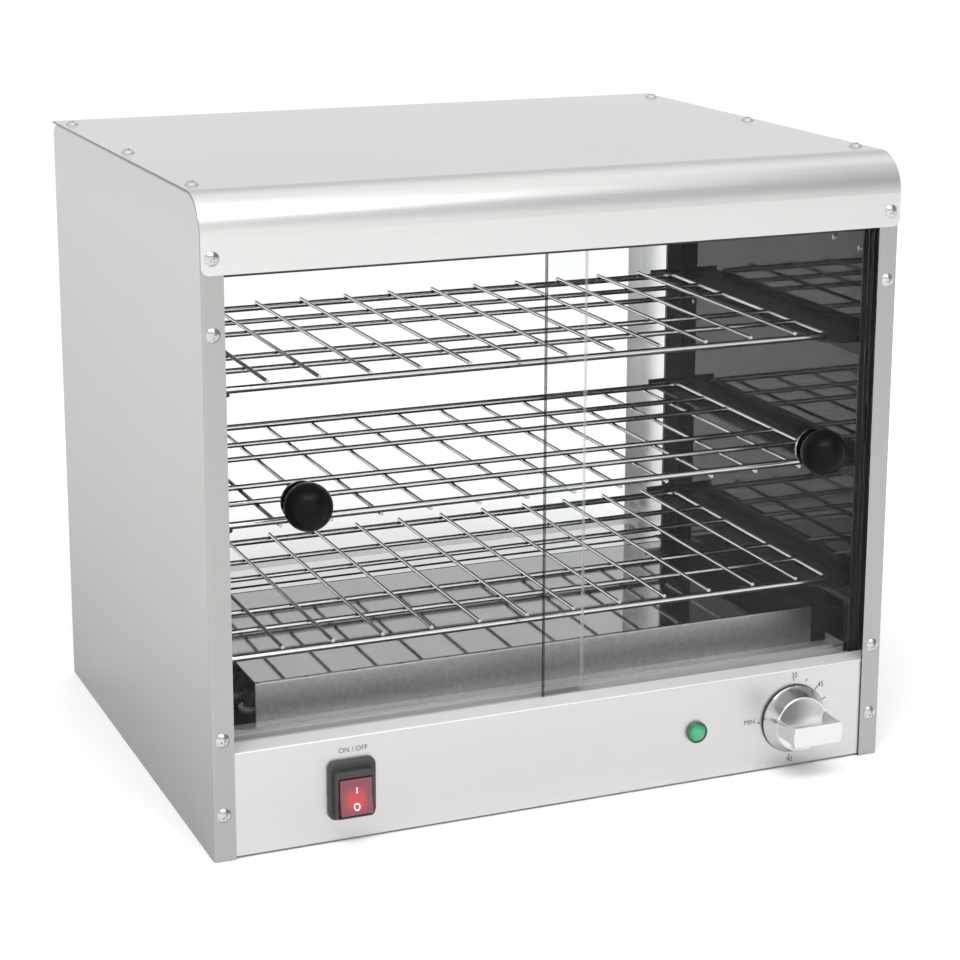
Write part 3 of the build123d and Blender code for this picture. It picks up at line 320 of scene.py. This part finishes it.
chrome_finish = Finish("bright_plating", metallic=1.0)
plating = chrome_finish.noise((240.0, 240.0, 240.0), 3.0, 0.6)
chrome_finish.set("Base Color", chrome_finish.mix(plating, (0.46, 0.46, 0.46), (0.62, 0.62, 0.62)))
chrome_finish.set("Roughness", plating * 0.12 + 0.10)
chrome_finish.bump(plating, 0.00005, 0.4)

wire_finish = Finish("dull_rack_wire", metallic=1.0)
wire_wear = wire_finish.noise((160.0, 160.0, 160.0), 3.0, 0.6)
facing = wire_finish.place(2, "Normal") * 0.5 + 0.5
# Painted highlight: a pale band along the wires' sides, by which way the surface faces.
painted_highlight_band = wire_finish.ramp(facing, (0.44, 0.0), (0.56, 1.0), (0.78, 1.0), (0.90, 0.0))
# Painted shade: the rest of the wire is painted near-black, varied by wear.
wire_painted_shade = wire_finish.mix(wire_wear, (0.04, 0.04, 0.04), (0.12, 0.12, 0.12))
wire_finish.set("Base Color", wire_finish.mix(painted_highlight_band, wire_painted_shade, (0.86, 0.86, 0.86)))
wire_finish.set("Roughness", wire_wear * 0.08 + 0.10)
wire_finish.bump(wire_wear, 0.00005, 0.4)
coat(wire_finish, "upper_rack", "middle_rack", "lower_rack")

rail_finish = Finish("rail_steel", metallic=1.0)
rail_mottle = rail_finish.noise((30.0, 30.0, 30.0), 4.0, 0.6)
# The rails are near-black metal, darker and lighter in patches.
rail_finish.set("Base Color", rail_finish.mix(rail_mottle, (0.010, 0.010, 0.010), (0.040, 0.040, 0.039)))
rail_finish.set("Roughness", rail_mottle * 0.2 + 0.28)
rail_finish.bump(rail_mottle, 0.0001, 0.3)
for level in ("upper", "middle", "lower"):
    coat(rail_finish, f"{level}_left_rail", f"{level}_right_rail")

# Heater
# Two hairpin tubes on saddles, under a bright folded cover that is open at both ends.

mirror_finish = Finish("bright_cover_steel", metallic=1.0)
drawn = mirror_finish.noise((12.0, 90.0, 90.0), 3.0, 0.55)
bloom = mirror_finish.noise((25.0, 25.0, 25.0), 4.0, 0.6)
cover_top = mirror_finish.place(2, "Normal") > 0.5
mottle = mirror_finish.noise((260.0, 260.0, 260.0), 4.0, 0.7)
side_colour = mirror_finish.mix(mottle, (0.36, 0.36, 0.355), (0.70, 0.70, 0.69))
top_colour = mirror_finish.mix(bloom, (0.40, 0.40, 0.40), (0.54, 0.54, 0.535))
mirror_finish.set("Base Color", mirror_finish.mix(cover_top, side_colour, top_colour))
mirror_finish.set("Roughness", (1 - cover_top) * 0.30 + bloom * 0.05 + drawn * 0.02 + 0.02)
mirror_finish.bump(drawn, 0.00006, 0.2)
coat(mirror_finish, "element_cover")

tube_finish = Finish("heater_sheath", metallic=0.9)
oxide = tube_finish.noise((120.0, 300.0, 300.0), 4.0, 0.65)
tube_finish.set("Base Color", tube_finish.mix(oxide, (0.05, 0.045, 0.045), (0.19, 0.16, 0.14)))
tube_finish.set("Roughness", oxide * 0.25 + 0.35)
tube_finish.bump(oxide, 0.0001, 0.5)
coat(tube_finish, "front_element", "rear_element")
coat(bright_finish, "element_brackets", "bulb_clips")

ceramic_finish = Finish("white_ceramic")
grog = ceramic_finish.noise((700.0, 700.0, 700.0), 3.0, 0.6)
ceramic_finish.set("Base Color", ceramic_finish.mix(grog, (0.62, 0.60, 0.55), (0.82, 0.81, 0.77)))
ceramic_finish.set("Roughness", grog * 0.2 + 0.45)
ceramic_finish.bump(grog, 0.00008, 0.5)
coat(ceramic_finish, "element_insulators")

# Door knobs
# Black moulded balls on plated discs, bolted through the glass from inside.

knob_finish = Finish(
    "black_moulded_knob", coat_weight=0.02, coat_roughness=0.10, specular_ior_level=0.05)
mould = knob_finish.noise((1500.0, 1500.0, 1500.0), 2.0, 0.5)
wear = knob_finish.noise((90.0, 90.0, 90.0), 4.0, 0.6)
knob_finish.set("Base Color", knob_finish.mix(wear, (0.003, 0.003, 0.003), (0.010, 0.010, 0.010)))
knob_finish.set("Roughness", wear * 0.15 + 0.22)
knob_finish.bump(mould, 0.00001, 0.3)
coat(knob_finish, "left_door_knob", "right_door_knob")
coat(chrome_finish, "left_knob_washers", "right_knob_washers", "left_knob_bolt", "right_knob_bolt")

# Rocker switch
# A grey rubber boot round a translucent red rocker that is lit from inside, with I pressed in.

PANEL_FACE = -0.1748
ROCKER = Vector((-0.1395, PANEL_FACE - 0.005, 0.0307))
ROCKER_TILT = math.radians(7.5)
ROCKER_DEPTH = 0.0044
DISH_RADIUS = 0.0386

rubber_finish = Finish("grey_rubber_boot")
matte = rubber_finish.noise((1300.0, 1300.0, 1300.0), 3.0, 0.6)
chalk = rubber_finish.noise((150.0, 150.0, 150.0), 3.0, 0.6)
rubber_finish.set("Base Color", rubber_finish.mix(chalk, (0.024, 0.025, 0.024), (0.048, 0.049, 0.047)))
rubber_finish.set("Roughness", chalk * 0.15 + 0.42)
rubber_finish.bump(matte, 0.00004, 0.5)
coat(rubber_finish, "switch_frame")

rocker_finish = Finish(
    "red_translucent_rocker", coat_weight=0.3, coat_roughness=0.10, emission_strength=0.10)
across = rocker_finish.place(0) - ROCKER.x
upward = rocker_finish.place(2) - ROCKER.z
lit_x = rocker_finish.ramp(abs(across) * 100.0, (0.35, 1.0), (0.78, 0.0))
lit_z = rocker_finish.ramp(abs(upward + 0.001) * 100.0, (0.35, 1.0), (0.85, 0.0))
speckle = rocker_finish.noise((900.0, 900.0, 900.0), 2.0, 0.6)
lamp_glow = lit_x * lit_z * (speckle * 0.5 + 0.75)
rocker_red = rocker_finish.mix(lamp_glow, (0.19, 0.045, 0.065), (0.42, 0.035, 0.045))
rocker_finish.set("Base Color", rocker_red)
rocker_light = rocker_finish.mix(lamp_glow, (0.05, 0.012, 0.018), (0.80, 0.05, 0.06))
rocker_finish.set("Emission Color", rocker_light)
rocker_finish.set("Roughness", speckle * 0.1 + 0.2)
rocker_finish.bump(speckle, 0.00003, 0.2)
coat(rocker_finish, "switch_rocker")

white_ink = Finish("white_symbol_ink", roughness=0.5)
pores = white_ink.noise((2500.0, 2500.0, 2500.0), 2.0, 0.6)
white_ink.set("Base Color", white_ink.mix(pores, (0.78, 0.72, 0.74), (0.92, 0.90, 0.91)))


def piece(name, shape, finish, body):
    """Turns a bmesh into a finished piece that rides on a CAD body."""
    mesh = bpy.data.meshes.new(name)
    shape.to_mesh(mesh)
    shape.free()
    made = bpy.data.objects.new(name, mesh)
    bpy.context.scene.collection.objects.link(made)
    mesh.materials.append(finish.material)
    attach(made, body)
    return made


def rocker_face(shape, lift):
    """Lays a flat shape, drawn in X and Z about the rocker's pivot, on its dished face."""
    for vert in shape.verts:
        up = vert.co.z
        proud = ROCKER_DEPTH + DISH_RADIUS - math.sqrt(DISH_RADIUS ** 2 - up * up) + lift + vert.co.y
        vert.co = Vector((vert.co.x, -proud, up))
    turn = Matrix.Translation(ROCKER) @ Matrix.Rotation(-ROCKER_TILT, 4, "X")
    bmesh.ops.transform(shape, matrix=turn, verts=shape.verts)
    return shape


def thicken(shape, thickness):
    """Gives flat faces a thickness towards -Y."""
    made = bmesh.ops.extrude_face_region(shape, geom=list(shape.faces))
    moved = [v for v in made["geom"] if isinstance(v, bmesh.types.BMVert)]
    bmesh.ops.translate(shape, vec=(0, -thickness, 0), verts=moved)
    bmesh.ops.recalc_face_normals(shape, faces=list(shape.faces))


ON_MARK_X = 0.0006
ON_MARK_Z = 0.0040
OFF_MARK_Z = -0.0060
BAR_WIDTH = 0.0009
BAR_HEIGHT = 0.0038
RING_RADIUS = 0.0021
RING_BORE = 0.62
RING_HEIGHTENING = 1.12
MARK_LIFT = 0.00004
bar = bmesh.new()
bmesh.ops.create_grid(bar, x_segments=1, y_segments=6, size=0.5)
bmesh.ops.scale(bar, vec=(BAR_WIDTH, BAR_HEIGHT, 1), verts=bar.verts)
bmesh.ops.rotate(bar, matrix=Matrix.Rotation(math.pi / 2, 3, "X"), verts=bar.verts)
bmesh.ops.translate(bar, vec=(ON_MARK_X, 0, ON_MARK_Z), verts=bar.verts)
piece("on_mark", rocker_face(bar, MARK_LIFT), white_ink, "rocker")

ring = bmesh.new()
bmesh.ops.create_circle(ring, segments=40, radius=RING_RADIUS)
inner = bmesh.ops.extrude_edge_only(ring, edges=list(ring.edges))
inner_verts = [v for v in inner["geom"] if isinstance(v, bmesh.types.BMVert)]
bmesh.ops.scale(ring, vec=(RING_BORE, RING_BORE, 1), verts=inner_verts)
bmesh.ops.scale(ring, vec=(1.0, RING_HEIGHTENING, 1), verts=ring.verts)
bmesh.ops.rotate(ring, matrix=Matrix.Rotation(math.pi / 2, 3, "X"), verts=ring.verts)
bmesh.ops.translate(ring, vec=(0, 0, OFF_MARK_Z), verts=ring.verts)
piece("off_mark", rocker_face(ring, MARK_LIFT), white_ink, "rocker")

# Pilot lamp
# A green moulded lens that nearly fills its thin dark green ring.

LAMP_X = 0.0920
LAMP_Z = 0.0343
LENS_SPREAD = 28000.0
lens_finish = Finish("green_lens", coat_weight=0.8, coat_roughness=0.03, emission_strength=0.35)
radial_x = lens_finish.place(0) - LAMP_X
radial_z = lens_finish.place(2) - LAMP_Z
radial_square = radial_x * radial_x + radial_z * radial_z
spread = lens_finish.ramp(radial_square * LENS_SPREAD, (0.1, 1.0), (0.95, 0.0))
ribs = lens_finish.noise((900.0, 900.0, 900.0), 2.0, 0.6)
lens_green = lens_finish.mix(spread * 0.8 + ribs * 0.2, (0.008, 0.13, 0.06), (0.02, 0.33, 0.15))
lens_finish.set("Base Color", lens_green)
lens_finish.set("Emission Color", lens_finish.mix(spread, (0.0, 0.04, 0.02), (0.01, 0.22, 0.10)))
lens_finish.set("Roughness", ribs * 0.08 + 0.10)
coat(lens_finish, "lamp_lens")

ring_finish = Finish("dark_green_ring", coat_weight=0.5, coat_roughness=0.05)
tint = ring_finish.noise((600.0, 600.0, 600.0), 2.0, 0.6)
ring_finish.set("Base Color", ring_finish.mix(tint, (0.008, 0.060, 0.032), (0.014, 0.10, 0.052)))
ring_finish.set("Roughness", tint * 0.1 + 0.14)
coat(ring_finish, "lamp_bezel")

# Thermostat dial
# A turned aluminium dial with a raised grip, on a dark ring. The panel round it is printed.

dial_finish = Finish("turned_aluminium", metallic=1.0)
turning = dial_finish.noise((2600.0, 260.0, 2600.0), 3.0, 0.6)
touch = dial_finish.noise((45.0, 45.0, 45.0), 3.0, 0.6)
dial_finish.set("Base Color", dial_finish.mix(turning, (0.66, 0.66, 0.66), (0.80, 0.80, 0.795)))
dial_finish.set("Roughness", turning * 0.07 + touch * 0.06 + 0.10)
dial_finish.bump(turning, 0.00002, 0.4)
coat(dial_finish, "dial_knob")

moulding_finish = Finish("dark_moulding")
grit = moulding_finish.noise((1200.0, 1200.0, 1200.0), 3.0, 0.6)
scuff = moulding_finish.noise((60.0, 60.0, 60.0), 4.0, 0.6)
moulding_black = moulding_finish.mix(scuff, (0.012, 0.012, 0.012), (0.035, 0.035, 0.035))
moulding_finish.set("Base Color", moulding_black)
moulding_finish.set("Roughness", scuff * 0.15 + 0.42)
moulding_finish.bump(grit, 0.00004, 0.4)
coat(moulding_finish, "dial_ring", "thermostat_body", "lamp_body", "switch_body")
coat(moulding_finish, "cord_gland", "gland_nut")

DIAL_X = 0.1618
DIAL_Z = 0.0335
INK_THICK = 0.00008
CAPITAL_SHARE = 0.69
grey_ink = Finish("grey_panel_ink", roughness=0.55)
fade = grey_ink.noise((1600.0, 1600.0, 1600.0), 3.0, 0.6)
grey_ink.set("Base Color", grey_ink.mix(fade, (0.025, 0.025, 0.027), (0.080, 0.080, 0.083)))


def words(text, height, x, z, stretch=1.0):
    """Printed words on the control panel, centred on a point."""
    curve = bpy.data.curves.new("print", "FONT")
    curve.body = text
    curve.align_x = "CENTER"
    curve.align_y = "CENTER"
    curve.resolution_u = 3
    holder = bpy.data.objects.new("print", curve)
    bpy.context.scene.collection.objects.link(holder)
    bpy.context.view_layer.update()
    flat = bpy.data.meshes.new_from_object(holder)
    bpy.data.objects.remove(holder)
    shape = bmesh.new()
    shape.from_mesh(flat)
    bmesh.ops.remove_doubles(shape, verts=shape.verts, dist=1e-5)
    size = height / CAPITAL_SHARE
    place = Matrix.Translation((x, PANEL_FACE, z)) @ Matrix.Rotation(math.pi / 2, 4, "X")
    place = place @ Matrix.Diagonal((size * stretch, size, 1, 1))
    bmesh.ops.transform(shape, matrix=place, verts=shape.verts)
    thicken(shape, INK_THICK)
    return shape


def printed(name, text, height, x, z, stretch=1.0):
    """One printed label as a piece."""
    return piece(name, words(text, height, x, z, stretch), grey_ink, "cabinet")


printed("switch_label", "ON / OFF", 0.0031, -0.1380, 0.0578, 0.98)
printed("dial_label_min", "MIN", 0.0032, 0.1303, 0.0348, 0.95)
printed("dial_label_30", "30", 0.0037, 0.1622, 0.0621, 0.85)
printed("dial_label_45", "45", 0.0037, 0.1818, 0.0535, 0.85)
printed("dial_label_90", "90", 0.0037, 0.1604, 0.0050, 0.85)

TICK_WIDTH = 0.0007
TICKS = (
    (180, 0.0237, 0.0020),
    (90, 0.0250, 0.0017),
    (69, 0.0252, 0.0018),
    (47, 0.0232, 0.0030),
    (24, 0.0236, 0.0026),
    (-94, 0.0246, 0.0016),
)
marks = bmesh.new()
for angle, start, length in TICKS:
    made = bmesh.ops.create_grid(marks, x_segments=1, y_segments=1, size=0.5)["verts"]
    bmesh.ops.scale(marks, vec=(length, TICK_WIDTH, 1), verts=made)
    bmesh.ops.translate(marks, vec=(start + length / 2, 0, 0), verts=made)
    turn = Matrix.Rotation(math.pi / 2, 4, "X") @ Matrix.Rotation(math.radians(angle), 4, "Z")
    place = Matrix.Translation((DIAL_X, PANEL_FACE, DIAL_Z)) @ turn
    bmesh.ops.transform(marks, matrix=place, verts=made)
thicken(marks, INK_THICK)
piece("dial_ticks", marks, grey_ink, "cabinet")

# Electrics under the cavity floor, and the inlet
# A copper bulb tube, plated shaft, nylon terminal block and sleeved leads.

copper_finish = Finish("bare_copper", metallic=1.0)
tarnish = copper_finish.noise((80.0, 80.0, 80.0), 4.0, 0.6)
copper_finish.set("Base Color", copper_finish.mix(tarnish, (0.36, 0.17, 0.10), (0.72, 0.42, 0.27)))
copper_finish.set("Roughness", tarnish * 0.2 + 0.22)
coat(copper_finish, "thermostat_bulb_and_tube")
coat(chrome_finish, "thermostat_shaft")

nylon_finish = Finish("natural_nylon")
flow = nylon_finish.noise((200.0, 200.0, 200.0), 3.0, 0.6)
nylon_finish.set("Base Color", nylon_finish.mix(flow, (0.66, 0.65, 0.59), (0.82, 0.81, 0.76)))
nylon_finish.set("Roughness", flow * 0.15 + 0.38)
nylon_finish.bump(flow, 0.00005, 0.3)
coat(nylon_finish, "terminal_block")

sleeve_finish = Finish("silicone_sleeve")
braid = sleeve_finish.noise((1800.0, 1800.0, 1800.0), 2.0, 0.6)
sleeve_finish.set("Base Color", sleeve_finish.mix(braid, (0.42, 0.40, 0.36), (0.60, 0.58, 0.53)))
sleeve_finish.set("Roughness", braid * 0.2 + 0.5)
sleeve_finish.bump(braid, 0.00008, 0.6)
coat(sleeve_finish, "internal_wiring")

# Screws and rivets
# Plated cross-recess screws outside, and three rivets on the right wall inside the cavity.

coat(chrome_finish, "hood_screws", "front_flange_screws", "rear_flange_screws", "base_screws")

WALL_INSIDE = 0.2238
HALF_DEPTH = 0.176
RIVETS = ((0.042, 0.329, 0.0024), (0.074, 0.331, 0.0024), (0.268, 0.252, 0.0020))
RIVET_FLATNESS = 0.45
rivets = bmesh.new()
for depth, height, radius in RIVETS:
    made = bmesh.ops.create_uvsphere(rivets, u_segments=16, v_segments=8, radius=radius)["verts"]
    bmesh.ops.scale(rivets, vec=(RIVET_FLATNESS, 1, 1), verts=made)
    bmesh.ops.translate(rivets, vec=(WALL_INSIDE, depth - HALF_DEPTH, height), verts=made)
for face in rivets.faces:
    face.smooth = True
piece("wall_rivets", rivets, chrome_finish, "cabinet")

# Studio
# A plain pale floor under an even sky that is brighter in front on the left, with one soft lamp
# in front that draws the highlight along the hood's curve.

FLOOR_HALF = 20.0
floor_mesh = bpy.data.meshes.new("studio_floor")
ground = bmesh.new()
bmesh.ops.create_grid(ground, x_segments=1, y_segments=1, size=FLOOR_HALF)
ground.to_mesh(floor_mesh)
ground.free()
floor = bpy.data.objects.new("studio_floor", floor_mesh)
bpy.context.scene.collection.objects.link(floor)
floor_finish = Finish("pale_floor", roughness=0.9)
paper = floor_finish.noise((3.0, 3.0, 3.0), 2.0, 0.5)
floor_finish.set("Base Color", floor_finish.mix(paper, (0.95, 0.95, 0.95), (0.96, 0.96, 0.96)))
floor_mesh.materials.append(floor_finish.material)

world = bpy.data.worlds.new("studio")
bpy.context.scene.world = world
world.use_nodes = True
SKY_STRENGTH = 1.22
SKY_STOPS = ((0.0, 1.0), (0.10, 0.92), (0.32, 0.62), (0.62, 0.62), (0.85, 1.0))


class Sky(Finish):
    """The surroundings, shaded by direction."""

    def __init__(self, surroundings):
        self.tree = surroundings.node_tree
        self.surface = self.tree.nodes["Background"]


sky = Sky(world)
sky_height = sky.ramp(sky.place(2, "Generated"), *SKY_STOPS)
in_front = sky.place(1, "Generated") < 0.0
to_left = sky.ramp(sky.place(0, "Generated"), (0.25, 1.0), (0.60, 0.0))
sky.set("Color", sky_height * (1 + in_front * (to_left * 0.9 - 0.55)))
sky.set("Strength", SKY_STRENGTH)


def soft_lamp(name, place, aim, width, height, power):
    """A rectangular soft lamp that looks at a point."""
    data = bpy.data.lights.new(name, "AREA")
    data.shape = "RECTANGLE"
    data.size = width
    data.size_y = height
    data.energy = power
    made = bpy.data.objects.new(name, data)
    made.location = place
    made.rotation_euler = (Vector(aim) - Vector(place)).to_track_quat("-Z", "Y").to_euler()
    bpy.context.scene.collection.objects.link(made)


soft_lamp("front_lamp", (-0.5, -1.6, 2.6), (0, 0, 0.35), 2.4, 0.7, 40.0)

SENSOR = 36.0
FOCAL_PIXELS = 2416.7
PHOTO_PIXELS = 960
CAMERA_PITCH = math.radians(90 - 13.38)
CAMERA_ROLL = math.radians(-0.14)
CAMERA_YAW = math.radians(-22.67)
camera_data = bpy.data.cameras.new("camera")
camera_data.sensor_width = SENSOR
camera_data.lens = FOCAL_PIXELS / PHOTO_PIXELS * SENSOR
camera_data.shift_y = -0.1
camera_data.clip_end = 60.0
camera = bpy.data.objects.new("camera", camera_data)
camera.location = (-0.5890, -1.4470, 0.6017)
camera.rotation_euler = (CAMERA_PITCH, CAMERA_ROLL, CAMERA_YAW)
bpy.context.scene.collection.objects.link(camera)
bpy.context.scene.camera = camera
bpy.context.scene.view_settings.view_transform = "Standard"
